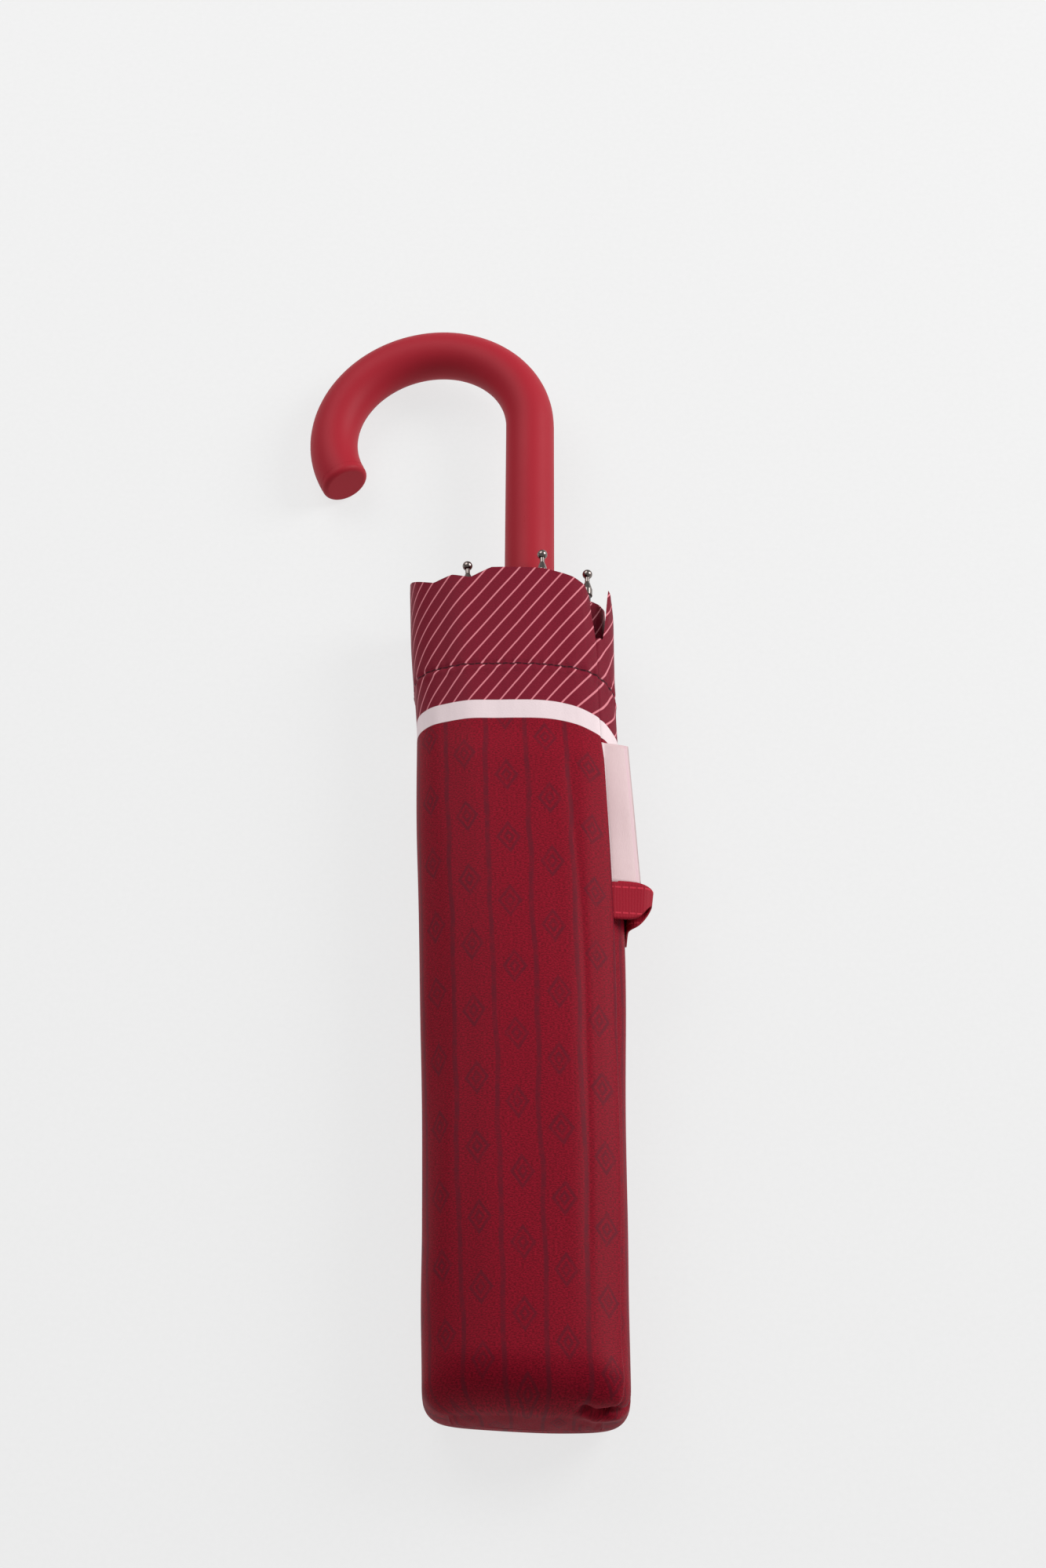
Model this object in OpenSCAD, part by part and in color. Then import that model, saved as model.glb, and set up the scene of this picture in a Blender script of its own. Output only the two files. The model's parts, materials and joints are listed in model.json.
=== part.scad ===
// Folding umbrella with a crook handle, collapsed, furled and lying on its back.
// Row frame: +Y runs along the shaft towards the handle, +Z is up, z = 0 is the surface it lies on.
// Inside along_shaft() the shaft is the local z axis, counted as u from the closed end of the canopy,
// local x stays row x, and local -y points up.

/* [Canopy] */
// Length of the furled cloth, closed end to hem
canopy_len = 278; // [262:1:340]
// Width of the furled cloth at the hem
hem_w = 64; // [62:1:84]
// Width of the furled cloth at the closed end
end_w = 59; // [57:1:76]
// Thickness of the furled cloth
canopy_t = 35; // [35:0.5:46]
// How far the hem end sits to the left of the shaft
hem_lean = 5; // [0:0.5:8]
// Wall of the outer wrap, two layers of cloth
wrap_wall = 1.5; // [1:0.1:1.8]
// Corner radius of the closed end, seen from above
end_r = 11; // [6:0.5:14]
// Mouth of the cloth funnel inside the closed end
funnel_d = 17.2; // [16.8:0.2:18.4]

/* [Shaft] */
// Outside diameter of the outer tube
outer_d = 13; // [12.6:0.1:13.2]
// Outside diameter of the middle tube
middle_d = 10.8; // [10.4:0.1:11]
// Outside diameter of the lower tube
lower_d = 8.6; // [8:0.1:9]
// Wall of all three tubes
tube_wall = 0.4; // [0.3:0.05:0.5]
// Length of the outer tube
outer_len = 219; // [200:1:225]
// Radial clearance between pieces that slide
slide_gap = 0.1; // [0.05:0.01:0.1]
// Length of the bushes at the tube ends
bush_len = 12; // [8:1:16]

/* [Ribs] */
// Length of the top ribs, pivot to pivot
top_rib_len = 126; // [110:1:140]
// Pivot of the stretcher on the top rib, from the crown
stretcher_pivot = 76; // [60:1:90]
// Diameter of the outer ribs
outer_rib_d = 2.4; // [2:0.1:2.6]
// Diameter of the ball on each rib tip
tip_ball_d = 3.2; // [2.8:0.1:3.6]
// How far the balls stand out past the hem
tip_out = 8.5; // [6:0.5:11]
// Sheet thickness of the pressed ribs
rib_wall = 0.4; // [0.3:0.05:0.5]

/* [Handle] */
// Diameter of the stem where it enters the canopy
stem_d = 16; // [14:0.1:17]
// Diameter of the crook
crook_d = 15.6; // [14:0.1:17]
// Radius of the crook's centreline
crook_r = 32.6; // [26:0.2:40]
// How far the crook turns past a half circle
crook_past = 26; // [0:1:40]
// Straight stem outside the canopy
stem_out = 66; // [40:1:90]
// Depth of the tube's socket in the stem
socket_depth = 36; // [24:1:38]

/* [Strap] */
// Width of the closing strap
strap_w = 13; // [10:0.5:18]
// Thickness of the closing strap
strap_t = 0.8; // [0.6:0.1:1]
// Length of the woven label
label_len = 49; // [40:1:60]

/* [Hidden] */
$fn = 48;
eps = 0.01;

axis_h = canopy_t / 2;

// Ribs: six, every 60 degrees, counted anticlockwise from +x seen from the closed end upwards
rib_count = 6;
function rib_angle(i) = 15 + 60 * (i - 1);

// Radial stack, from the tube outwards
tube_r = outer_d / 2;
stretcher_in = tube_r + 0.4;
stretcher_h = 1.6;
stretcher_w = 1.4;
ring_r = tube_r + 1.7;
wire_d = 1;
top_rib_in = tube_r + 0.9;
top_rib_out = tube_r + 3.5;
top_rib_w = 3;
middle_rib_in = top_rib_out + 0.5;
middle_rib_out = middle_rib_in + 1.8;
middle_rib_w = 4.1;
outer_rib_r = middle_rib_out + outer_rib_d / 2 + 0.1;
link_d = 0.9;
link_r = middle_rib_in + 0.8;

// Places along the shaft
cap_u = 5;
crown_u = 14;
crown_floor = 3;
crown_len = 12;
tube_u = crown_u + crown_floor;
top_pivot_u = tube_u + 3;
stretcher_u = top_pivot_u + stretcher_pivot;
elbow_u = top_pivot_u + top_rib_len;
knee_u = 12;
tube_end_u = tube_u + outer_len;
runner_len = 36;
runner_u = tube_end_u - 4 - runner_len;
runner_pivot_u = runner_u + 4;
flange_t = 2;
bush_flange_r = tube_r + 0.9;
stem_u = tube_end_u + flange_t + 1.8;
arc_u = canopy_len + stem_out;
tip_u = canopy_len + tip_out;

// Tubes
outer_in_r = tube_r - tube_wall;
middle_r = middle_d / 2;
middle_in_r = middle_r - tube_wall;
lower_r = lower_d / 2;
lower_in_r = lower_r - tube_wall;
catch_zone = 31;
middle_u = tube_u + catch_zone + 2;
middle_end_u = tube_end_u + 0.6;
lower_u = middle_u + 4;
lower_end_u = stem_u + socket_depth;

// Tips of the ribs across the furled canopy, from the shaft axis: [right, up]
tip_at = [[18.4, 2.2], [4, 13.2], [-19.6, 6.6], [-18, -7.5], [-3.5, -13.2], [16, -8.5]];

// Furled canopy: left and right edges, and a closed end rounded in both directions
cloth_power = 2.7;
ring_points = 48;
flat_sink = 1;
end_rise = 10;
function share(u) = min(1, max(0, u / canopy_len));
function round_in(u, r) = u < r ? r - sqrt(max(0, r * r - (r - u) * (r - u))) : 0;
function half_w(u) = (end_w + (hem_w - end_w) * share(u)) / 2;
function lean(u) = -0.5 - (hem_lean - 0.5) * pow(share(u), 1.4);
function power(x, p) = sign(x) * pow(abs(x), p);
// Right-hand edge of the cloth at length u, at height h above the shaft's axis
function surface_x(u, h) =
    lean(u) + half_w(u) * pow(1 - pow(2 * h / canopy_t, cloth_power), 1 / cloth_power);
function cloth_ring(u, inset) = [
    for (k = [0 : ring_points - 1])
        let (a = 360 * k / ring_points, q = 2 / cloth_power)
        [lean(u) + (half_w(u) - inset - round_in(u - inset, end_r)) * power(cos(a), q),
         -(canopy_t / 2 + flat_sink * (sin(a) < 0 ? 1 : 0) - inset - round_in(u - inset, end_rise))
            * power(sin(a), q),
         u]
];
round_steps = [0, 0.6, 1.8, 3.6, 6, 8.5, 11.5];
long_steps = [40, 90, 140, 190, 235];
function cloth_levels(from, to) = concat([for (s = round_steps) from + s], long_steps, [to]);

// A closed solid through rings of the same number of points, first and last closed by flat caps
module loft(rings) {
    n = len(rings[0]);
    m = len(rings);
    polyhedron(
        points = [for (r = rings) each r],
        faces = concat(
            [[for (k = [n - 1 : -1 : 0]) k]],
            [for (j = [0 : m - 2], k = [0 : n - 1])
                let (a = j * n + k, b = j * n + (k + 1) % n, c = b + n, d = a + n) each [[a, b, d], [b, c, d]]],
            [[for (k = [0 : n - 1]) (m - 1) * n + k]]
        )
    );
}

module along_shaft() {
    translate([0, -canopy_len / 2, axis_h]) rotate([-90, 0, 0]) children();
}

module at_rib(i) {
    rotate([0, 0, -rib_angle(i)]) children();
}

// A cylinder from one point to another
module rod(from, to, d) {
    v = to - from;
    translate(from)
        rotate([0, acos(v.z / norm(v)), atan2(v.y, v.x)])
            cylinder(h = norm(v), d = d);
}

module tube(r_out, r_in, from, to) {
    translate([0, 0, from])
        difference() {
            cylinder(h = to - from, r = r_out);
            translate([0, 0, -1]) cylinder(h = to - from + 2, r = r_in);
        }
}

// A pin across a rib at radius r and height u, with a small head at each side
module cross_pin(r, u, d, w) {
    head_t = 0.3;
    translate([r, 0, u]) rotate([90, 0, 0]) {
        cylinder(h = w, d = d, center = true);
        for (s = [-1, 1]) translate([0, 0, s * (w + head_t) / 2])
            cylinder(h = head_t, d = d + 0.8, center = true);
    }
}

module cross_hole(r, u, d) {
    translate([r, 0, u]) rotate([90, 0, 0]) cylinder(h = 8, d = d, center = true);
}

// ---- Canopy ----

funnel_mouth_r = funnel_d / 2;
funnel_neck_r = 6.9;
funnel_wall = 1;

// The cloth gathered from the closed end down to the crown
module cloth_funnel() {
    rotate_extrude()
        polygon([
            [funnel_mouth_r - 0.2, 0.3], [funnel_mouth_r + funnel_wall, 0.6],
            [funnel_mouth_r + funnel_wall, 2], [funnel_neck_r + funnel_wall, crown_u - 0.6],
            [funnel_neck_r, crown_u - 0.6], [funnel_mouth_r - 0.2, 1.6]
        ]);
}

strap_y = 22;
strap_u = strap_y + canopy_len / 2;

module canopy_wrap() {
    color("crimson")
    along_shaft() {
        intersection() {
            loft(concat(
                [for (u = cloth_levels(0, canopy_len)) cloth_ring(u, 0)],
                [for (u = reverse_list(cloth_levels(wrap_wall, canopy_len))) cloth_ring(u, wrap_wall)]
            ));
            translate([-100, -100, -1]) cube([200, 100 + axis_h, canopy_len + 2]);
        }
        cloth_funnel();
    }
}

function reverse_list(v) = [for (i = [len(v) - 1 : -1 : 0]) v[i]];

// Space that the folded ribs take up inside the cloth
module rib_space(grow) {
    hull() {
        for (i = [1 : rib_count]) at_rib(i)
            translate([outer_rib_r - 1.1, 0, 1]) cylinder(h = 20, r = middle_rib_w / 2 + grow + 0.9, $fn = 24);
        for (p = tip_at)
            translate([p[0], -p[1], tip_u - 8]) cylinder(h = 8, r = skirt_r + grow, $fn = 16);
    }
}

module canopy_folds() {
    inset = wrap_wall + 0.2;
    start_u = inset + 1.2;
    color("firebrick")
    along_shaft()
        difference() {
            intersection() {
                loft([for (u = cloth_levels(start_u, canopy_len - 4)) cloth_ring(u, inset)]);
                translate([-100, -100, -1]) cube([200, 100 + axis_h - inset, canopy_len + 2]);
            }
            rib_space(0.4);
        }
}

// ---- Shaft ----

catch_w = 2.4;
catch_len = 10;
catch_angle = 45;
catch_u = tube_u + 13;
catch_out = tube_r + 1.8;

module outer_tube() {
    color("silver")
    along_shaft()
        difference() {
            tube(tube_r, outer_in_r, tube_u, tube_end_u);
            rotate([0, 0, -catch_angle])
                translate([0, -catch_w / 2 - slide_gap, catch_u - slide_gap])
                    cube([20, catch_w + 2 * slide_gap, catch_len + 2 * slide_gap]);
        }
}

module middle_tube() {
    color("silver")
    along_shaft() tube(middle_r, middle_in_r, middle_u, middle_end_u);
}

module lower_tube() {
    color("silver")
    along_shaft()
        difference() {
            tube(lower_r, lower_in_r, lower_u, lower_end_u);
            handle_pin_hole();
        }
}

module outer_tube_bush() {
    color("dimgray")
    along_shaft() {
        tube(outer_in_r, middle_r + slide_gap, tube_end_u - bush_len, tube_end_u);
        tube(bush_flange_r, middle_r + slide_gap, tube_end_u, tube_end_u + flange_t / 2);
    }
}

module middle_top_bush() {
    color("dimgray")
    along_shaft() tube(outer_in_r - slide_gap, middle_r, middle_u, middle_u + bush_len - 2);
}

module middle_end_bush() {
    color("dimgray")
    along_shaft() {
        tube(middle_in_r, lower_r + slide_gap, middle_end_u - bush_len, middle_end_u);
        tube(middle_r, lower_r + slide_gap, middle_end_u, middle_end_u + flange_t);
    }
}

module lower_top_bush() {
    color("dimgray")
    along_shaft() tube(middle_in_r - slide_gap, lower_r, lower_u, lower_u + bush_len - 2);
}

// ---- Crown and runner ----

module rib_slots(count, w, from_r, from, to) {
    for (i = [1 : count]) at_rib(i)
        translate([from_r, -w / 2, from]) cube([20, w, to - from]);
}

module wire_ring(u, d) {
    translate([0, 0, u]) rotate_extrude() translate([ring_r, 0]) circle(d = d);
}

stud_r = 2;

module crown() {
    color("dimgray")
    along_shaft()
        difference() {
            translate([0, 0, crown_u]) cylinder(h = crown_len, r = tube_r + 3.3);
            translate([0, 0, tube_u]) cylinder(h = crown_len, r = tube_r);
            translate([0, 0, crown_u - 1]) cylinder(h = crown_floor, r = stud_r);
            rib_slots(rib_count, top_rib_w + 0.4, tube_r + 0.5, tube_u, crown_u + crown_len + 1);
            wire_ring(top_pivot_u, wire_d + 0.1);
        }
}

module crown_wire() {
    color("silver")
    along_shaft() wire_ring(top_pivot_u, wire_d);
}

module crown_cap() {
    cap_r = 6.4;
    nose_r = 3;
    color("darkred")
    along_shaft() {
        translate([0, 0, cap_u])
            rotate_extrude()
                union() {
                    translate([0, nose_r]) square([cap_r, crown_u - cap_u - nose_r]);
                    square([cap_r - nose_r, crown_u - cap_u]);
                    intersection() {
                        translate([cap_r - nose_r, nose_r]) circle(r = nose_r);
                        square([cap_r, nose_r + eps]);
                    }
                }
        translate([0, 0, crown_u - eps]) cylinder(h = crown_floor - 1 + eps, r = stud_r);
    }
}

module runner() {
    body_r = tube_r + 1.3;
    rim_r = tube_r + 2.6;
    head_len = 8;
    rim_len = 7;
    color("dimgray")
    along_shaft()
        difference() {
            union() {
                translate([0, 0, runner_u]) cylinder(h = runner_len, r = body_r);
                translate([0, 0, runner_u]) cylinder(h = head_len, r = tube_r + 3);
                translate([0, 0, runner_u + runner_len - rim_len]) cylinder(h = rim_len, r = rim_r);
            }
            translate([0, 0, runner_u - 1]) cylinder(h = runner_len + 2, r = tube_r + slide_gap);
            rib_slots(rib_count, stretcher_w + 0.4, stretcher_in - 0.05, runner_u - 1, runner_u + head_len - 1);
            wire_ring(runner_pivot_u, wire_d + 0.1);
        }
}

module runner_wire() {
    color("silver")
    along_shaft() wire_ring(runner_pivot_u, wire_d);
}

// The sprung nose that holds the runner up when the umbrella is open
module runner_catch() {
    foot_t = 1;
    foot_in = outer_in_r - 0.2 - foot_t;
    color("silver")
    along_shaft()
        rotate([0, 0, -catch_angle]) translate([0, 0, catch_u]) {
            translate([foot_in, catch_w / 2, 0])
                rotate([90, 0, 0])
                    linear_extrude(height = catch_w)
                        polygon([
                            [0, 0], [catch_out - foot_in, 0], [catch_out - foot_in, 2.5],
                            [outer_in_r - foot_in, catch_len], [0, catch_len]
                        ]);
            translate([foot_in, -catch_w / 2, -2]) cube([foot_t, catch_w, catch_len + 4]);
        }
}

// ---- Ribs ----

// A pressed rib: a channel that opens towards the shaft
module channel(r_in, r_out, w, from, to) {
    difference() {
        translate([r_in, -w / 2, from]) cube([r_out - r_in, w, to - from]);
        translate([r_in - 1, -w / 2 + rib_wall, from - 1])
            cube([r_out - rib_wall - r_in + 1, w - 2 * rib_wall, to - from + 2]);
    }
}

rivet_d = 0.8;
hole_d = rivet_d + 0.1;
stretcher_r = stretcher_in + 0.9;
elbow_r = top_rib_in + 1.75;

module top_rib(i) {
    color("lightgray")
    along_shaft() at_rib(i)
        difference() {
            channel(top_rib_in, top_rib_out, top_rib_w, top_pivot_u - 2, elbow_u + 2);
            cross_hole(ring_r, top_pivot_u, wire_d + 0.5);
            cross_hole(stretcher_r, stretcher_u, hole_d);
            cross_hole(elbow_r, elbow_u, hole_d);
        }
}

module stretcher(i) {
    end = 1.6;
    color("lightgray")
    along_shaft() at_rib(i)
        difference() {
            translate([stretcher_in, -stretcher_w / 2, stretcher_u - end])
                cube([stretcher_h, stretcher_w, runner_pivot_u - stretcher_u + 2 * end]);
            cross_hole(stretcher_r, stretcher_u, hole_d);
            cross_hole(ring_r, runner_pivot_u, wire_d + 0.2);
        }
}

module middle_rib(i) {
    lug = 7;
    lug_out = outer_rib_r + 1.4;
    color("lightgray")
    along_shaft() at_rib(i)
        difference() {
            union() {
                channel(middle_rib_in, middle_rib_out, middle_rib_w, knee_u - 3, elbow_u + 3);
                channel(elbow_r - 1.2, middle_rib_out, middle_rib_w, elbow_u + 3 - lug, elbow_u + 3);
                for (s = [-1, 1])
                    translate([middle_rib_in, s * (middle_rib_w - rib_wall) / 2 - rib_wall / 2, knee_u - 3])
                        cube([lug_out - middle_rib_in, rib_wall, lug]);
            }
            // the web is cut back at the knee so that the outer rib's eye fits between the lugs
            translate([middle_rib_out - 1, -middle_rib_w / 2 + rib_wall, knee_u - 4])
                cube([3, middle_rib_w - 2 * rib_wall, 6.5]);
            cross_hole(elbow_r, elbow_u, hole_d);
            cross_hole(outer_rib_r, knee_u, hole_d);
        }
}

module link_wire(i) {
    from = knee_u + 8;
    to = elbow_u - 8;
    half = middle_rib_w / 2 - rib_wall - 0.05;
    color("silver")
    along_shaft() at_rib(i) {
        translate([link_r, 0, from]) cylinder(h = to - from, d = link_d);
        for (u = [from, to]) translate([link_r, 0, u])
            rotate([90, 0, 0]) cylinder(h = 2 * half, d = link_d, center = true);
    }
}

function knee_point(i) = [outer_rib_r * cos(rib_angle(i)), -outer_rib_r * sin(rib_angle(i)), knee_u];
function tip_point(i) = [tip_at[i - 1][0], -tip_at[i - 1][1], tip_u - tip_ball_d];
tip_len = 7;
skirt_r = 1.7;
function tip_base(i) =
    let (v = tip_point(i) - knee_point(i)) tip_point(i) - v * (tip_len / norm(v));

module outer_rib(i) {
    eye_w = 2.6;
    color("gray")
    along_shaft() difference() {
        union() {
            rod(knee_point(i), tip_base(i), outer_rib_d);
            at_rib(i) translate([outer_rib_r, 0, knee_u])
                rotate([90, 0, 0]) cylinder(h = eye_w, d = 2.6, center = true);
        }
        at_rib(i) cross_hole(outer_rib_r, knee_u, hole_d);
    }
}

// A plated tip: a skirt over the rib's end, a thin neck and a ball
module rib_tip(i) {
    v = tip_point(i) - tip_base(i);
    neck_r = 0.75;
    ball_r = tip_ball_d / 2;
    color("silver")
    along_shaft()
        translate(tip_base(i)) rotate([0, acos(v.z / norm(v)), atan2(v.y, v.x)]) {
            rotate_extrude()
                polygon([[0, 0], [skirt_r, 0], [skirt_r, 2.2], [neck_r + 0.3, 4.4], [neck_r, 5.2],
                         [neck_r, tip_len + ball_r - 0.8], [0, tip_len + ball_r - 0.8]]);
            translate([0, 0, tip_len + ball_r - 0.4]) sphere(d = tip_ball_d);
        }
}

module rib_rivets() {
    color("silver")
    along_shaft()
        for (i = [1 : rib_count]) at_rib(i) {
            cross_pin(stretcher_r, stretcher_u, rivet_d, top_rib_w + 0.02);
            cross_pin(elbow_r, elbow_u, rivet_d, middle_rib_w + 0.02);
            cross_pin(outer_rib_r, knee_u, rivet_d, middle_rib_w + 0.02);
        }
}

// ---- Handle ----

crook_tube_r = crook_d / 2;
// the crook is rolled about the shaft until its end rests on the surface
crook_roll = asin((axis_h - crook_tube_r) / (2 * crook_r));
end_round = 1.6;
end_len = 3;
// Step at the moulding's two part lines, where the crook meets its straight stem and its end
part_line = 0.03;
end_r_out = crook_tube_r - part_line;
pin_u = stem_u + socket_depth / 2;
pin_d = 2;

module handle_pin_hole() {
    translate([0, 0, pin_u]) rotate([90, 0, 0]) cylinder(h = 2 * stem_d, d = pin_d, center = true);
}

module crook_handle() {
    color("firebrick") {
        along_shaft()
            difference() {
                translate([0, 0, stem_u])
                    cylinder(h = arc_u - stem_u, r1 = stem_d / 2, r2 = crook_tube_r + part_line);
                translate([0, 0, stem_u - 1]) cylinder(h = socket_depth + 1, r = lower_r);
                handle_pin_hole();
            }
        translate([0, arc_u - canopy_len / 2, axis_h]) rotate([0, -crook_roll, 0])
            translate([-crook_r, 0, 0]) {
                rotate_extrude(angle = 180 + crook_past)
                    translate([crook_r, 0]) circle(r = crook_tube_r);
                rotate([0, 0, 180 + crook_past]) translate([crook_r, 0, 0]) rotate([-90, 0, 0])
                    rotate_extrude() union() {
                        square([end_r_out, end_len - end_round]);
                        square([end_r_out - end_round, end_len]);
                        intersection() {
                            translate([end_r_out - end_round, end_len - end_round]) circle(r = end_round);
                            square([end_r_out, end_len]);
                        }
                    }
            }
    }
}

module handle_pin() {
    color("silver")
    along_shaft()
        translate([0, 0, pin_u]) rotate([90, 0, 0])
            cylinder(h = stem_d - 0.4, d = pin_d, center = true);
}

// ---- Strap and label ----
// Section of the strap across the umbrella, in row x and z: out from under the wrap's edge, a bend, and back

bend_r = 3;
bend_x = half_w(strap_u) + 2.9;
bend_z = axis_h + 7.3;
side_x = half_w(strap_u) + lean(strap_u) + 0.35;
loop_t = 0.4;
hook_t = 0.35;
patch_t = loop_t + hook_t + 0.05;
tail_reach = 12;

module strap_section(points) {
    translate([0, strap_y + strap_w / 2, 0]) rotate([90, 0, 0])
        linear_extrude(height = strap_w) polygon(points);
}

module strap_root() {
    sewn_in = 1.94;
    top = bend_z + bend_r;
    root_x = surface_x(strap_u, top - axis_h) - sewn_in;
    color("red")
    strap_section([
        [root_x, top], [bend_x, top], [bend_x, top + strap_t], [root_x, top + strap_t]
    ]);
}

module strap_tail() {
    low = bend_z - bend_r;
    color("red")
    strap_section([
        [bend_x, low], [bend_x, low - strap_t], [side_x + patch_t + strap_t, low - 2.6 - strap_t],
        [side_x + patch_t + strap_t, low - tail_reach], [side_x + patch_t, low - tail_reach],
        [side_x + patch_t, low - 2.6]
    ]);
}

// A patch of fastener tape on the side of the furl: inner face at x, margin left at the strap's edges
module fastener_patch(x, t, margin) {
    from = bend_z - bend_r - tail_reach + 1;
    translate([x, strap_y - strap_w / 2 + margin, from]) cube([t, strap_w - 2 * margin, tail_reach - 4.5]);
}

module strap_hook_patch() {
    color("black") fastener_patch(side_x + patch_t - hook_t, hook_t, 1.5);
}

module strap_loop_patch() {
    color("dimgray") fastener_patch(side_x, loop_t, 1);
}

module label() {
    label_t = 0.5;
    label_h = 9.6;
    sewn_in = 0.62;
    color("mistyrose")
    translate([surface_x(strap_u, label_h) - sewn_in, strap_y + strap_w / 2 + 1, axis_h + label_h])
        rotate([0, 14, 0])
            linear_extrude(height = label_t)
                polygon([[0, 0], [9.4, 0], [6.6, label_len], [-1.2, label_len]]);
}

canopy_wrap();
canopy_folds();
strap_root();
strap_tail();
strap_hook_patch();
strap_loop_patch();
label();
crook_handle();
handle_pin();
outer_tube();
middle_tube();
lower_tube();
outer_tube_bush();
middle_top_bush();
middle_end_bush();
lower_top_bush();
crown();
crown_wire();
crown_cap();
runner();
runner_wire();
runner_catch();
rib_rivets();
for (i = [1 : rib_count]) {
    top_rib(i);
    stretcher(i);
    middle_rib(i);
    link_wire(i);
    outer_rib(i);
    rib_tip(i);
}
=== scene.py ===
"""Looks of the furled folding umbrella: cloth, tape, label, handle finish, metal and the studio."""

import json
import math

import bpy
import numpy as np
from mathutils import Matrix, Vector, noise


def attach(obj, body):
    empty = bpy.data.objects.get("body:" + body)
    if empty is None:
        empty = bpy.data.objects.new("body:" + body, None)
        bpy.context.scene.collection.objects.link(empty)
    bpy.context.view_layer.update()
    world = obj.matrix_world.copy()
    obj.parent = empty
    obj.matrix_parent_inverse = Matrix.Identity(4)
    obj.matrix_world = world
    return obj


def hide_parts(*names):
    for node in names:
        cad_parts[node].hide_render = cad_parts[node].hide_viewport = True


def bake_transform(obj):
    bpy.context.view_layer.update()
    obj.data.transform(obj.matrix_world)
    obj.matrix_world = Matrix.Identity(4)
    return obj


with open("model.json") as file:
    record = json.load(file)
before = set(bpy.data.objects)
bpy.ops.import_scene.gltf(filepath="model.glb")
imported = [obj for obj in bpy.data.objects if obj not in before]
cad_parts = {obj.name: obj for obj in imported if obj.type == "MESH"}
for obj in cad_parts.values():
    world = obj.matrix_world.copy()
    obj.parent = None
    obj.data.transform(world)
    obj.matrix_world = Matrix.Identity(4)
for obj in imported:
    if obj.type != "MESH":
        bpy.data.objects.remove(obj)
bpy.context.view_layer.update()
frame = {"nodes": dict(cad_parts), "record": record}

# Lengths below are millimetres. u runs along the shaft from the closed end of the canopy to the hem,
# and the angle a runs round the furled cloth from its right side, over the top, to the left.
CLOTH_LONG = 278
AXIS_H = 17.5
MID_Y = CLOTH_LONG / 2
OVER_AXIS, UNDER_AXIS = 16.3, 17.5
ROUND_SIDE, ROUND_TOP, ROUND_UNDER = 7.5, 15, 10
SQUARENESS = 2.7


def step(x, lo, hi):
    """0 up to lo, 1 from hi on, and a smooth rise between them."""
    t = np.clip((x - lo) / (hi - lo), 0, 1)
    return t * t * (3 - 2 * t)


def bump(x, at, wide):
    """1 at one place, falling off smoothly to both sides."""
    return np.exp(-(((x - at) / wide) ** 2))


def bent(c, p):
    """A sine or cosine bent so that the round it draws becomes squarer."""
    return np.sign(c) * np.abs(c) ** p


def round_in(u, r):
    """How far the edge of the closed end is rounded in, at length u."""
    d = np.clip(r - u, 0, r)
    return r - np.sqrt(r * r - d * d)


def half_width(u):
    return (59 + 5 * np.clip(u / CLOTH_LONG, 0, 1)) / 2


def lean(u):
    """The furl's middle line moves to the left towards the hem."""
    return -0.5 - 4.5 * np.clip(u / CLOTH_LONG, 0, 1) ** 1.4


def outline(a, u, out, out_z=None):
    """A point round the furled cloth at angle a and length u, held out from its core."""
    out_z = out if out_z is None else out_z
    c, s = np.cos(np.radians(a)), np.sin(np.radians(a))
    square = 2 / (SQUARENESS + 2.2 * (1 - step(u, 0, 45)) * (s < 0))
    c, s = bent(c, square), bent(s, square)
    x = lean(u) + (half_width(u) - 1 + out - round_in(u, ROUND_SIDE)) * c
    x = x + np.where(c > 0, 1.2 - 0.7 * step(u, 200, 240), 1.6 * step(u, 222, 262)) * c
    high = np.where(s > 0, OVER_AXIS - round_in(u, ROUND_TOP), UNDER_AXIS - round_in(u, ROUND_UNDER))
    z = AXIS_H + (high + out_z) * s
    return x, np.maximum(z, 0.12 + 0.1 * np.clip(1 - out, 0, 1))


# Millimetres of cloth round the middle of the furl at each angle, counted from a = -60 degrees
ROUND_A = np.linspace(-60, 460, 2601)
middle_x, middle_z = outline(ROUND_A, 140.0, 0.0)
ROUND_MM = np.concatenate([[0], np.cumsum(np.hypot(np.diff(middle_x), np.diff(middle_z)))])


def mm_at(a):
    return np.interp(a, ROUND_A, ROUND_MM)


def angle_at(mm):
    return np.interp(mm, ROUND_MM, ROUND_A)


def grid_piece(name, x, y, z, across, along, closed=False):
    """A smooth sheet through a grid of points, with its cloth lengths in the map called cloth."""
    rows, cols = x.shape
    points = np.stack([x, y, z], -1).reshape(-1, 3) / 1000
    k = np.arange(rows * cols).reshape(rows, cols)
    if closed:
        k[:, -1] = k[:, 0]
    quads = np.stack([k[:-1, :-1], k[:-1, 1:], k[1:, 1:], k[1:, :-1]], -1).reshape(-1, 4).tolist()
    if closed:
        quads += [k[0, :-1].tolist(), k[-1, -2::-1].tolist()]
    mesh = bpy.data.meshes.new(name)
    mesh.from_pydata(points.tolist(), [], quads)
    layer = mesh.uv_layers.new(name="cloth")
    length = np.stack([across, along], -1).reshape(-1, 2)
    loops = np.zeros(len(mesh.loops), int)
    mesh.loops.foreach_get("vertex_index", loops)
    layer.data.foreach_set("uv", length[loops].ravel())
    mesh.shade_smooth()
    piece = bpy.data.objects.new(name, mesh)
    bpy.context.collection.objects.link(piece)
    return piece


def push_out(x, y, z, by):
    """Moves a grid of points along its own normals."""
    p = np.stack([x, y, z], -1)
    n = np.cross(np.gradient(p, axis=1), np.gradient(p, axis=0))
    n /= np.maximum(np.linalg.norm(n, axis=-1, keepdims=True), 1e-9)
    p = p + n * by[..., None]
    return p[..., 0], p[..., 1], np.maximum(p[..., 2], 0.1)


# ---- The canopy's outer wrap ----

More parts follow.
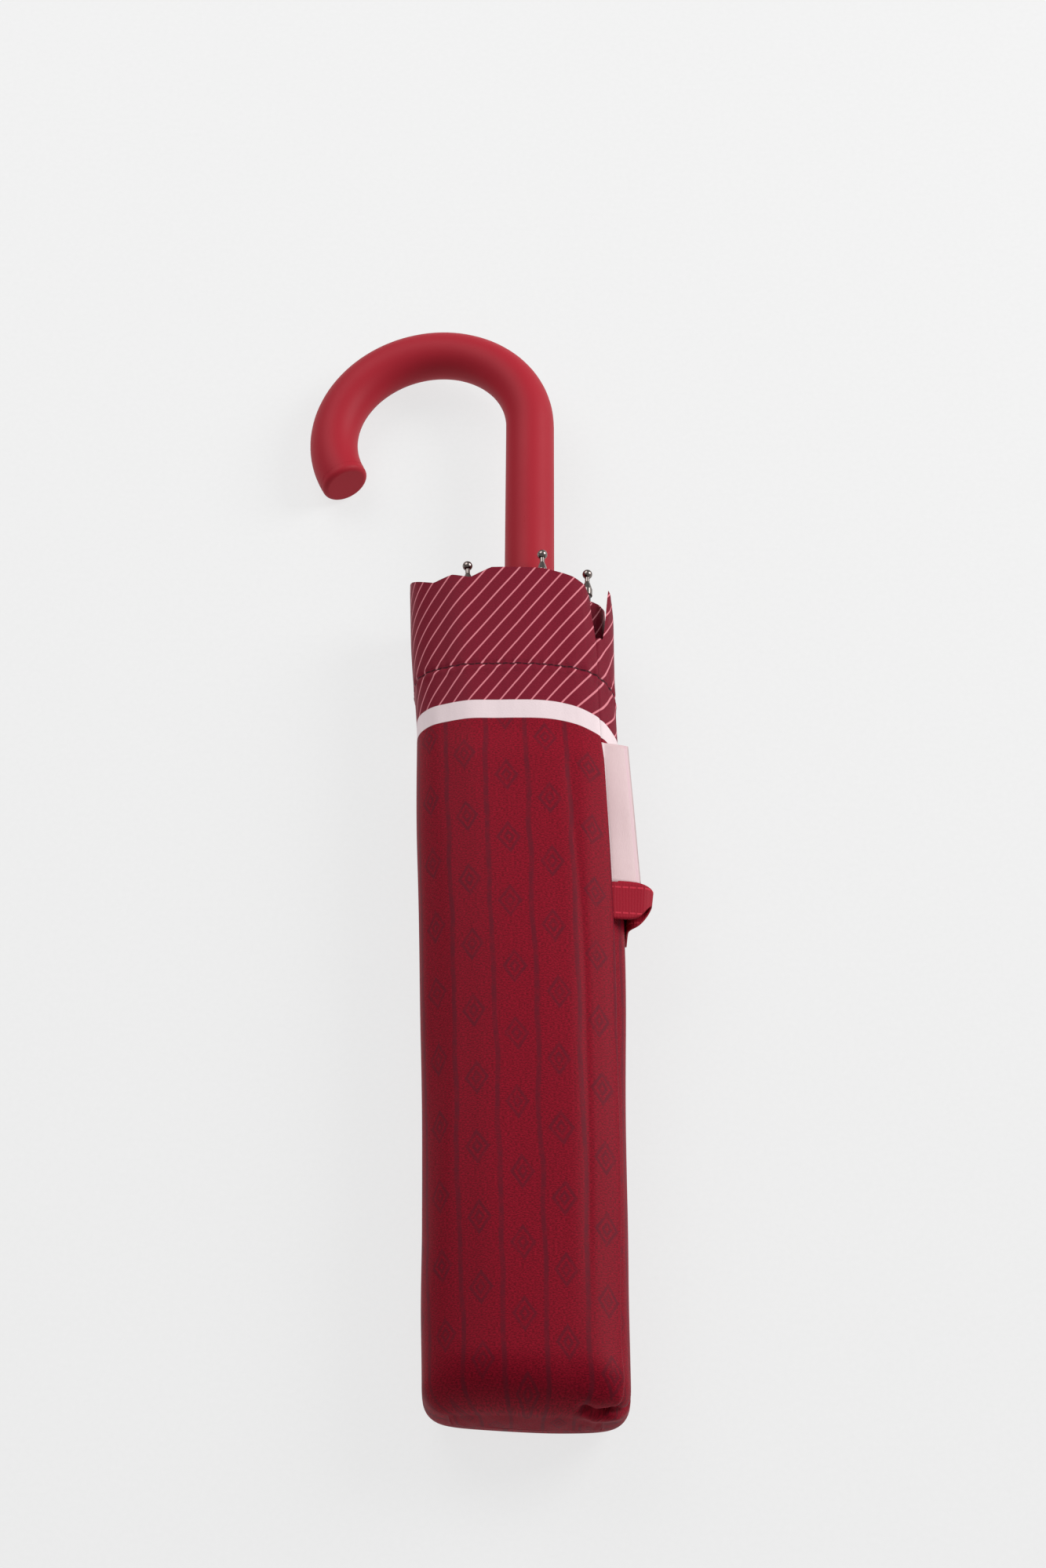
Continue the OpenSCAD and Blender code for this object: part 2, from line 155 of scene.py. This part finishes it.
# The hem's corners, as angle and length: underside, low right side, peak beside the slit, foot and top of
# the slit, the stretch over the handle, the wave by the second tip, the left corner
PEAK_A, PEAK_U = 27, 273.5
SLIT_A, SLIT_U = 43.5, 271
HEM = np.array([(-90, 272), (-8, 264), (5, 264), (15, 270.5), (PEAK_A, PEAK_U), (SLIT_A - 1.5, 259),
                (SLIT_A, SLIT_U), (60, 275), (78, 277.5), (97, 277.5), (108, 274), (119, 275.5), (135, 274),
                (178, 280.5), (195, 276), (270, 272)]).T
GIRTH = mm_at(400) - mm_at(40)
PRINT_A = 90
UNDER_HEM = 254
SLIT_H = 12.0

# Lengths from the hem to the border's seam, its pale band and the printed cloth
SEAM_V, BAND_V, PRINT_V = 36.2, 49.6, 56.1


def lap_a(u):
    """Angle of the fold where the wrap laps over itself, along the right shoulder."""
    return 31.3 + 10.2 * step(u, 125, 215)


def unrest(a, u):
    """Slack and tight places of the furl, the same for every layer that passes a place."""
    turn = np.radians(a)
    p, q = np.cos(turn) * 29, np.sin(turn) * 17
    broad = np.array([noise.noise(Vector((i / 22, k / 60, j / 22))) for i, k, j in
                      zip(p.ravel(), u.ravel(), q.ravel())]).reshape(u.shape)
    fine = np.array([noise.noise(Vector((i / 7 + 9, k / 75, j / 7))) for i, k, j in
                     zip(p.ravel(), u.ravel(), q.ravel())]).reshape(u.shape)
    return (0.9 * broad + 0.34 * fine) * step(u, 6, 45)


def wrap_grid():
    """Lengths along the shaft and round the furl, closer together where the cloth folds."""
    past_slit = mm_at(64) - mm_at(36)
    round_mm = np.concatenate([np.linspace(0, 4, 14)[:-1], np.linspace(4, past_slit, 26)[:-1],
                               np.linspace(past_slit, GIRTH - 12, 180)[:-1],
                               np.linspace(GIRTH - 12, GIRTH + 9, 52)])
    down = np.concatenate([np.linspace(0, 62, 84)[:-1], np.linspace(62, 263, 110)[:-1],
                           CLOTH_LONG - 15 * np.linspace(1, 0, 20) ** 2])
    return np.meshgrid(CLOTH_LONG - down, round_mm, indexing="ij")


def hem_at(here, under):
    """The hem of both layers: each falls away where the other one shows."""
    hem = np.interp(here, HEM[0], HEM[1])
    hem = np.where(under & (here > PEAK_A), np.maximum(PEAK_U - 2.6 * (here - PEAK_A), UNDER_HEM), hem)
    return np.where(~under & (here < SLIT_A), SLIT_U - 0.6 * (SLIT_A - here), hem)


def lap_out(mm, start, u, under):
    """The top layer lies on the under layer, and rolls over at its folded edge."""
    top_edge = np.clip(mm - start, 0, None)
    inside = np.clip(mm - start - GIRTH, -40, None)
    below_band = 1 - step(u, 208, 219)
    lap = (0.16 + 1.2 * below_band) * (1 - step(mm, mm_at(95), mm_at(150)))
    out = 0.15 + np.where(under, 0.0, lap) - (0.25 + 0.5 * below_band) * np.exp(-top_edge / 0.4) * ~under
    out = out - np.where(under, 0.45 * step(inside, -1.2, 0.6), 0)
    # soft creases beside the folded edge
    crease = step(u, 20, 60) * (1 - step(u, 200, 215)) * ~under
    return out - 0.32 * bump(top_edge, 10.5, 1.2) * crease + 0.2 * bump(top_edge, 14.5, 2.4) * crease


def slit_out(here, u, under):
    """At the slit the top layer rolls in beside the raised fold of the under layer."""
    gape = step(u, 247, 272)
    tip = 41 - 12 * gape
    rolls_in = 2.2 * gape * step(-here, -54, -41)
    drops = 7.0 * gape ** 0.8 * step(here, tip, tip + 4.5)
    return np.where(under, 0.8 * gape * bump(here, tip - 4, 6) - drops, -rolls_in)


def seam_out(along, mm):
    """The border's seam is a slight step with small puckers."""
    seam = along - SEAM_V
    pucker = np.sin(mm * 1.9 + 2 * np.sin(mm * 0.37))
    return 0.2 * bump(seam, 1.6, 1.0) - 0.40 * bump(seam, 0, 0.6) + 0.2 * bump(seam, 0, 2.4) * pucker


def close_end(x, y, z, mm, along, a):
    """The closed end: the cloth rolls over, gathers to a flat slit low on the end and tucks in."""
    ring_x, ring_y, ring_z = x[-1], y[-1], z[-1]
    upper = np.sign(ring_z - SLIT_H)
    turn = np.radians(a[-1])
    lip = SLIT_H + upper * 0.12
    rings = []
    for e in np.linspace(0, 1, 22)[1:]:
        gather = 0.12 * np.sin(13 * turn + 1) * math.sin(math.pi * e)
        over = ring_y - upper * 0.6 * e * e - 0.3 * math.sin(math.pi * e) + gather
        rings.append((ring_x * (1 - 0.04 * e), over, ring_z + (lip - ring_z) * e, CLOTH_LONG + 14 * e))
    for e in np.linspace(0, 1, 6)[1:]:
        tucked = ring_y - upper * 0.6 * (1 - e) + 3.8 * e
        rings.append((ring_x * 0.96, tucked, lip, CLOTH_LONG + 14 + 8 * e))
    x, y, z = (np.concatenate([g, np.array([r[k] for r in rings])]) for k, g in enumerate((x, y, z)))
    mm = np.concatenate([mm, np.repeat(mm[-1:], len(rings), 0)])
    along = np.concatenate([along, np.array([np.full_like(ring_x, r[3]) for r in rings])])
    return x, y, z, mm, along


def pinch_corner(x, y, z):
    """The right corner of the closed end is pinched in, with a soft lip on each side."""
    u = y + MID_Y
    line = 24.4 - 1.8 * step(x, 16, 20) - 5.0 * step(x, 23.5, 29.5)
    near_end = 1 - step(u, 6, 9)
    pinch = bump(z, line, 1.15) * near_end * step(x, 13.5, 17)
    lips = (bump(z, line + 4.4, 2.2) + bump(z, line - 3.4, 1.7)) * near_end
    lips = lips * step(x, 13, 19) * (1 - step(x, 25, 29))
    slack = 0.8 * bump(x, 24, 5) * bump(u, 9, 5) - 0.5 * bump(x, 13, 5) * bump(u, 10, 7)
    deep = 2.4 * pinch * (1 - 0.6 * step(x, 24, 30))
    return push_out(x, y, z, slack * step(z, 18, 25) + 0.7 * lips - deep)


def make_wrap():
    u0, cols = wrap_grid()
    start = mm_at(lap_a(u0))
    mm = start + cols
    a = angle_at(mm)
    here = np.where(a > 300, a - 360, a)
    under = mm > start + GIRTH / 2
    u = u0 + (hem_at(here, under) - CLOTH_LONG) * step(u0, 236, CLOTH_LONG)
    # the border hangs lower on the right
    sag = 8 * step(-here, -80, -8) * np.clip((250 - u) / 22, 0, 1) * step(u, 120, 205)
    along = CLOTH_LONG - u - sag
    out = lap_out(mm, start, u, under) + unrest(here, u) + slit_out(here, u, under) + seam_out(along, mm)
    x, z = outline(a, u, out)
    slant = 2.3 - 1.5 * step(x, -28, 10)
    y = u + slant * (1 - step(u, 0, 60)) - MID_Y
    x, y, z, mm, along = close_end(x, y, z, mm, along, a)
    x, y, z = pinch_corner(x, y, z)
    return grid_piece("outer_wrap", x, y, z, mm - mm_at(PRINT_A), along)


wrap = make_wrap()
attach(wrap, "canopy")
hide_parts("canopy_wrap")


# ---- The gathered folds inside the wrap ----

def make_folds():
    turns, rows = 3.2, 60
    turn = np.linspace(0, 360 * turns, 420)
    a, t = np.meshgrid(turn, np.linspace(0, 1, rows) ** 1.6)
    here = (a + 30) % 360
    leaf = a / 360
    u_top = 271.5 + 1.3 * np.sin(np.radians(a * 1.7)) - leaf
    u_top = u_top - 7 * bump(here, 340, 45) + 3.5 * bump(here, 38, 12)
    u = u_top - (u_top - 19) * t
    left = 0.5 - 0.5 * np.cos(np.radians(here))
    out = -2.0 - leaf * (0.7 + 2.4 * left) + 0.3 * np.sin(np.radians(6 * a)) * left
    out_z = -1.5 - 0.28 * leaf
    clear = bump(here, 38, 14) * step(u, 235, 260)
    x, z = outline(here, u, out - 5.0 * clear, out_z - 4.5 * clear)
    return grid_piece("inner_folds", x, u - MID_Y, z, mm_at(30) + leaf * GIRTH, 277 - u)


folds = make_folds()
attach(folds, "canopy")
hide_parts("canopy_folds")


# ---- Strap and label ----

def ribbon(name, path, from_y, to_y, thick, shape, long_rows=14):
    """A tape of even thickness along a path in x and z, from one y to another."""
    path = np.array(path, float)
    far = np.concatenate([[0], np.cumsum(np.hypot(*np.diff(path, axis=0).T))])
    at = np.linspace(0, far[-1], max(24, int(far[-1] / 0.5)))
    px, pz = np.interp(at, far, path[:, 0]), np.interp(at, far, path[:, 1])
    for _ in range(6):
        px[1:-1], pz[1:-1] = (px[:-2] + 2 * px[1:-1] + px[2:]) / 4, (pz[:-2] + 2 * pz[1:-1] + pz[2:]) / 4
    t = np.stack([np.gradient(px), np.gradient(pz)], -1)
    t /= np.linalg.norm(t, axis=1, keepdims=True)
    nx, nz = -t[:, 1], t[:, 0]
    ys = np.linspace(from_y, to_y, long_rows)
    edge = thick * 0.5
    section = [(ys[0] + edge * 0.4, 0.5)] + [(v, 0.5) for v in ys[1:-1]] + [(ys[-1] - edge * 0.4, 0.5)]
    section += [(ys[-1], 0.0)] + [(ys[-1] - edge * 0.4, -0.5)] + [(v, -0.5) for v in ys[-2:0:-1]]
    section += [(ys[0] + edge * 0.4, -0.5), (ys[0], 0.0)]
    section.append(section[0])
    y = np.array([s[0] for s in section])[None, :] + np.zeros((len(px), 1))
    n = np.array([s[1] for s in section])[None, :] * thick
    x = px[:, None] + nx[:, None] * n
    z = pz[:, None] + nz[:, None] * n
    far_at = at[:, None] + 0 * y
    x, y, z = shape(x, y, z, far_at)
    return grid_piece(name, x, y, z, y - from_y, far_at, closed=True)


STRAP_Y, STRAP_W = 22, 13
BEND_X, BEND_Z, BEND_R = 34.6, 25.2, 2.6
around = np.radians(np.arange(80, -81, -16))
strap_path = [(21.5, 29.6), (25, 29.0), (30, 28.4),
              *np.stack([BEND_X + BEND_R * np.cos(around), BEND_Z + BEND_R * np.sin(around)], -1),
              (31.6, 22.5), (30.2, 21.6), (29.7, 20), (29.6, 16), (29.5, 11)]


def strap_shape(x, y, z, at):
    """The strap narrows into its bend, more from the side of the closed end."""
    narrow = bump(at, 17.3, 4.2)
    k = (y - STRAP_Y) / STRAP_W
    y = STRAP_Y + 2.0 * narrow + (y - STRAP_Y) * (1 - 0.64 * narrow)
    x = x + 0.5 * k * step(at, 6, 14) * (1 - step(at, 20, 26))
    z = z + 0.5 * k * k * step(at, 3, 8) * (1 - step(at, 12, 20))
    return x, y, z


strap = ribbon("closing_strap", strap_path, STRAP_Y - STRAP_W / 2, STRAP_Y + STRAP_W / 2, 0.7, strap_shape)
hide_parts("strap_root", "strap_tail")
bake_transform(strap)

LABEL_FROM, LABEL_TO = 28.0, 76.5


def label_fall(x, y, z, at):
    """The label swings in towards the furl along its length, and its free edge waves a little."""
    k = (y - LABEL_FROM) / (LABEL_TO - LABEL_FROM)
    return x - 3.4 * k * step(at, 0, 6), y, z - 0.25 * np.sin(k * 9) * step(at, 3, 12) + 0.5 * k


label_path = [(21.5, 29.6), (24.5, 29.3), (28, 28.9), (32, 28.0), (33.8, 27.2)]
label = ribbon("woven_label", label_path, LABEL_FROM, LABEL_TO, 0.32, label_fall, 40)
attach(label, "canopy")
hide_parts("label")


# ---- Materials ----

class Wire:
    """A value or colour on its way through a material."""

    def __init__(self, recipe, socket):
        self.recipe, self.socket = recipe, socket

    def maths(self, work, *others):
        return self.recipe.node("ShaderNodeMath", {"operation": work}, dict(enumerate([self, *others])))

    def __add__(self, other):
        return self.maths("ADD", other)

    def __mul__(self, other):
        return self.maths("MULTIPLY", other)

    def __sub__(self, other):
        return self.maths("SUBTRACT", other)

    def __truediv__(self, other):
        return self.maths("DIVIDE", other)

    def __mod__(self, other):
        return self.maths("FLOORED_MODULO", other)

    def __abs__(self):
        return self.maths("ABSOLUTE")

    def __rsub__(self, other):
        return self * -1 + other

    __radd__ = __add__
    __rmul__ = __mul__


class Recipe:
    """One material: a Principled shader and the nodes that vary it."""

    def __init__(self, name, **plain):
        self.material = bpy.data.materials.new(name)
        self.material.use_nodes = True
        self.tree = self.material.node_tree
        self.shader = self.tree.nodes["Principled BSDF"]
        for socket, value in plain.items():
            self.shader.inputs[socket.replace("_", " ")].default_value = value

    def node(self, kind, settings=None, inputs=None, out=0):
        made = self.tree.nodes.new(kind)
        for key, value in (settings or {}).items():
            setattr(made, key, value)
        for key, value in (inputs or {}).items():
            if isinstance(value, Wire):
                self.tree.links.new(value.socket, made.inputs[key])
            else:
                made.inputs[key].default_value = value
        return Wire(self, made.outputs[out])

    def paint(self, **sockets):
        for socket, value in sockets.items():
            self.tree.links.new(value.socket, self.shader.inputs[socket.replace("_", " ")])
        return self.material

    def rise(self, x, lo, hi):
        return self.node("ShaderNodeMapRange", {"interpolation_type": "SMOOTHSTEP"}, {0: x, 1: lo, 2: hi})

    def line(self, x, half, soft):
        """1 within half of x = 0, fading over soft."""
        return 1 - self.rise(abs(x), half, half + soft)

    def mix(self, share, under, over):
        under, over = (c if isinstance(c, Wire) else (*c, 1) for c in (under, over))
        return self.node("ShaderNodeMix", {"data_type": "RGBA"}, {0: share, 6: under, 7: over}, 2)

    def grain(self, at, size, detail=3, rough=0.55):
        return self.node("ShaderNodeTexNoise", None,
                         {"Vector": at, "Scale": size, "Detail": detail, "Roughness": rough})

    def cloth_lengths(self):
        uv = self.node("ShaderNodeUVMap", {"uv_map": "cloth"})
        both = self.tree.nodes.new("ShaderNodeSeparateXYZ")
        self.tree.links.new(uv.socket, both.inputs[0])
        return uv, Wire(self, both.outputs[0]), Wire(self, both.outputs[1])

    def relief(self, height, strength, depth):
        return self.node("ShaderNodeBump", None, {"Height": height, "Strength": strength, "Distance": depth})


RED = (0.292, 0.0028, 0.0175)
RED_DEEP = (0.120, 0.0008, 0.007)
RED_PRINT = (0.115, 0.0055, 0.015)
WINE = (0.190, 0.0075, 0.0225)
STRIPE = (0.68, 0.22, 0.26)
BAND = (0.78, 0.65, 0.67)


def canopy_cloth():
    m = Recipe("canopy_cloth", Roughness=0.55, Specular_IOR_Level=0.1)
    uv, s, v = m.cloth_lengths()
    # tonal print: upright lines, and between them an open lozenge with a small one inside it
    cell, tall = 11.9, 22.0
    col = (s + m.grain(uv, 0.045, 1) * 2.5 + v * 0.02) / cell
    line_x = ((col + 0.5) % 1.0 - 0.5) * cell
    row = v / tall + col.maths("FLOOR") * 0.37
    lx, ly = (col % 1.0 - 0.5) * cell, (row % 1.0 - 0.5) * tall
    from_middle = abs(lx) * 1.2 + abs(ly) * 0.75
    lozenges = m.line(from_middle - 3.6, 0.35, 0.5) + m.line(from_middle - 1.4, 0.3, 0.5)
    print_on = (m.line(line_x, 0.4, 0.6) + lozenges).maths("MINIMUM", 1)
    worn = m.rise(m.grain(uv, 0.22, 3), 0.36, 0.62)
    print_on = print_on * (0.5 + 0.32 * worn)
    # yarn
    yarn = m.grain(m.node("ShaderNodeMapping", None, {"Vector": uv, "Scale": (1.0, 2.2, 1)}), 1.4, 2, 0.7)
    shade = m.mix(m.rise(yarn, 0.32, 0.68), RED_DEEP, RED)
    shade = m.mix(print_on, shade, RED_PRINT)
    # border: wine with pink pinstripes on the slant, a stitched line, and a pale band with painted shading
    # streaks across it
    pitch = 3.76
    even = round(0.81 * GIRTH / pitch) * pitch / GIRTH
    past_seam = m.rise(v, SEAM_V - 0.1, SEAM_V + 0.1)
    slant = (s * even - v * 0.588 + past_seam * 0.9) % pitch - pitch / 2
    stripe = m.line(slant, 0.15, 0.15)
    wine = m.mix(m.rise(yarn, 0.3, 0.7), tuple(c * 0.78 for c in WINE), WINE)
    border = m.mix(stripe * 0.92, wine, STRIPE)
    dash = m.line((s % 2.0) - 1.0, 0.62, 0.2)
    stitch = m.line(v - SEAM_V, 0.18, 0.25) * (0.55 + 0.4 * dash)
    border = m.mix(stitch, border, (0.030, 0.002, 0.006))
    # painted shade: soft streaks across the pale band, its colour darkened in places to stand in for shading
    band_shading_streaks = m.grain(m.node("ShaderNodeMapping", None, {"Vector": uv, "Scale": (1, 0.15, 1)}), 0.5, 1)
    pale = m.mix(band_shading_streaks, tuple(c * 0.93 for c in BAND), BAND)
    colour = m.mix(m.rise(v, PRINT_V - 0.12, PRINT_V + 0.12),
                   m.mix(m.rise(v, BAND_V - 0.12, BAND_V + 0.12), border, pale), shade)
    height = yarn * 0.7 + m.grain(uv, 0.35, 2) * 0.5
    return m.paint(Base_Color=colour, Normal=m.relief(height, 0.2, 0.0006),
                   Roughness=m.rise(yarn, 0, 1) * 0.16 + 0.5)


def tape(name, dark, light, rib):
    m = Recipe(name, Roughness=0.6, Specular_IOR_Level=0.15)
    uv, across, along = m.cloth_lengths()
    weft = ((along / rib) * math.tau).maths("SINE") * 0.5 + 0.5
    yarn = m.grain(uv, 2.0, 2)
    shade = m.mix(weft * 0.15 + yarn * 0.7, dark, light)
    from_edge, pitch = 2.1, 2.2
    stitched = m.line(abs(across - STRAP_W / 2) - STRAP_W / 2 + from_edge, 0.2, 0.2)
    stitched = stitched * m.line(((along / pitch) % 1.0 - 0.5) * pitch, 0.75, 0.2)
    shade = m.mix(stitched * 0.45, shade, tuple(min(1, c * 1.9 + 0.03) for c in light))
    return m.paint(Base_Color=shade, Normal=m.relief(weft * 0.25 + yarn * 0.5 + stitched, 0.3, 0.0004))


def satin(name):
    m = Recipe(name, Roughness=0.4, Anisotropic=0.3, Specular_IOR_Level=0.3)
    uv, across, along = m.cloth_lengths()
    thread = m.grain(m.node("ShaderNodeMapping", None, {"Vector": uv, "Scale": (0.2, 3, 1)}), 2.2, 2)
    edge = m.line(along - 3.4, 0.5, 0.3)
    far = m.line(along - 11.6, 0.2, 0.25)
    shade = m.mix(thread, (0.58, 0.41, 0.42), (0.68, 0.51, 0.52))
    shade = m.mix(edge * 0.6, shade, (0.84, 0.70, 0.71))
    shade = m.mix(far * 0.5, shade, (0.62, 0.40, 0.46))
    return m.paint(Base_Color=shade, Normal=m.relief(thread + edge * 0.6, 0.2, 0.0003))


def soft_touch(name, light, dark):
    m = Recipe(name, Roughness=0.5, Specular_IOR_Level=0.16)
    at = m.node("ShaderNodeTexCoord", None, None, 3)
    fine = m.grain(at, 2600, 2)
    broad = m.grain(at, 38, 3)
    return m.paint(Base_Color=m.mix(broad * 0.5 + fine * 0.3, light, dark),
                   Roughness=broad * 0.14 + 0.47, Normal=m.relief(fine, 0.12, 0.0002))


def bright(name, light, dark, rough):
    m = Recipe(name, Metallic=1.0)
    at = m.node("ShaderNodeTexCoord", None, None, 3)
    drawn = m.grain(m.node("ShaderNodeMapping", None, {"Vector": at, "Scale": (1, 0.04, 1)}), 1500, 2)
    patch = m.grain(at, 140, 3)
    return m.paint(Base_Color=m.mix(patch, light, dark), Roughness=drawn * 0.14 + rough,
                   Normal=m.relief(drawn, 0.08, 0.0001))


def moulded(name, light, dark, rough=0.45):
    m = Recipe(name)
    at = m.node("ShaderNodeTexCoord", None, None, 3)
    fine = m.grain(at, 900, 2)
    return m.paint(Base_Color=m.mix(fine, light, dark), Roughness=m.grain(at, 90, 2) * 0.2 + rough,
                   Normal=m.relief(fine, 0.1, 0.0002))


def fastener(name):
    m = Recipe(name, Roughness=0.8, Sheen_Weight=0.4)
    at = m.node("ShaderNodeTexCoord", None, None, 3)
    loops = m.grain(at, 1800, 4)
    return m.paint(Base_Color=m.mix(loops, (0.09, 0.004, 0.012), (0.2, 0.01, 0.03)),
                   Normal=m.relief(loops, 0.8, 0.0008))


finishes = {
    "canopy_cloth": canopy_cloth(),
    "strap_tape": tape("strap_tape", (0.24, 0.003, 0.014), (0.36, 0.007, 0.024), 0.9),
    "fastener_tape": fastener("fastener_tape"),
    "label_satin": satin("label_satin"),
    "soft_touch_handle": soft_touch("soft_touch_handle", (0.35, 0.014, 0.026), (0.305, 0.011, 0.022)),
    "steel_tube": bright("steel_tube", (0.62, 0.62, 0.63), (0.52, 0.52, 0.54), 0.22),
    "steel_pins": bright("steel_pins", (0.55, 0.55, 0.56), (0.44, 0.44, 0.46), 0.28),
    "black_moulding": moulded("black_moulding", (0.028, 0.028, 0.030), (0.020, 0.020, 0.022)),
    "aluminium_rib": bright("aluminium_rib", (0.72, 0.72, 0.73), (0.6, 0.6, 0.62), 0.32),
    "glassfibre_rib": moulded("glassfibre_rib", (0.04, 0.04, 0.045), (0.025, 0.025, 0.03), 0.25),
    "nickel_tip": bright("nickel_tip", (0.27, 0.23, 0.21), (0.19, 0.16, 0.15), 0.14),
}
slots = {s["node"]: s["material_slot"] for s in frame["record"]["subparts"]}
for node_name, cad in frame["nodes"].items():
    cad.data.materials.clear()
    cad.data.materials.append(finishes[slots[node_name]])
for piece, finish in ((wrap, "canopy_cloth"), (folds, "canopy_cloth"),
                      (strap, "strap_tape"), (label, "label_satin")):
    piece.data.materials.append(finishes[finish])


# ---- Studio ----

def make_floor():
    mesh = bpy.data.meshes.new("studio_floor")
    n, wide = 24, 6.0
    line = np.linspace(-wide / 2, wide / 2, n)
    points = [(x, y, -0.00005) for y in line for x in line]
    corners = [j * n + i for j in range(n - 1) for i in range(n - 1)]
    quads = [(k, k + 1, k + n + 1, k + n) for k in corners]
    mesh.from_pydata(points, [], quads)
    floor = bpy.data.objects.new("studio_floor", mesh)
    bpy.context.collection.objects.link(floor)
    m = Recipe("pale_board", Roughness=0.8, Specular_IOR_Level=0.0, Emission_Strength=1.0)
    at = m.node("ShaderNodeTexCoord", None, None, 3)
    tooth = m.grain(at, 600, 2)
    mesh.materials.append(m.paint(Base_Color=m.mix(tooth, (0.11, 0.11, 0.11), (0.13, 0.13, 0.13)),
                                  Emission_Color=m.mix(tooth, (0.735, 0.735, 0.735), (0.745, 0.745, 0.745)),
                                  Normal=m.relief(tooth, 0.03, 0.0003)))


make_floor()
scene = bpy.context.scene
scene.view_settings.view_transform = "Standard"
world = bpy.data.worlds.new("studio_air")
scene.world = world
world.use_nodes = True
world.node_tree.nodes["Background"].inputs[0].default_value = (1, 1, 1, 1)
world.node_tree.nodes["Background"].inputs[1].default_value = 0.32


def soft_box(name, at, aim, wide, tall, power):
    light = bpy.data.lights.new(name, "AREA")
    light.shape, light.size, light.size_y, light.energy = "RECTANGLE", wide, tall, power
    lamp = bpy.data.objects.new(name, light)
    lamp.location = at
    lamp.rotation_euler = (Vector(aim) - Vector(at)).to_track_quat("-Z", "Y").to_euler()
    bpy.context.collection.objects.link(lamp)


soft_box("key_right", (0.85, 0.45, 0.62), (0, 0.05, 0), 0.6, 0.6, 11)
soft_box("window_back", (-0.35, 0.55, 0.6), (-0.02, 0.1, 0), 0.6, 0.5, 3.2)

# Camera: long lens above the closed end, looking down along the shaft at a point near the handle
TILT, ROLL = math.radians(30.9), math.radians(-0.29)
FAR, SIDE, LIFT = 1197.0, -1.7, -116.7
AIM_Y = 205
FILM_WIDE, LENS = 36, 84.0
right = Vector((1, 0, 0))
up = Vector((0, math.cos(TILT), math.sin(TILT)))
back = Vector((0, -math.sin(TILT), math.cos(TILT)))
centre = right * SIDE + up * LIFT + back * FAR + Vector((0, AIM_Y, AXIS_H))
turn_c, turn_s = math.cos(ROLL), math.sin(ROLL)
axes = Matrix((right * turn_c - up * turn_s, right * turn_s + up * turn_c, back)).transposed().to_4x4()
camera = bpy.data.objects.new("camera", bpy.data.cameras.new("camera"))
camera.data.sensor_width, camera.data.lens = FILM_WIDE, LENS
camera.data.clip_start, camera.data.clip_end = 0.05, 20
camera.matrix_world = Matrix.Translation(centre / 1000) @ axes
bpy.context.collection.objects.link(camera)
scene.camera = camera
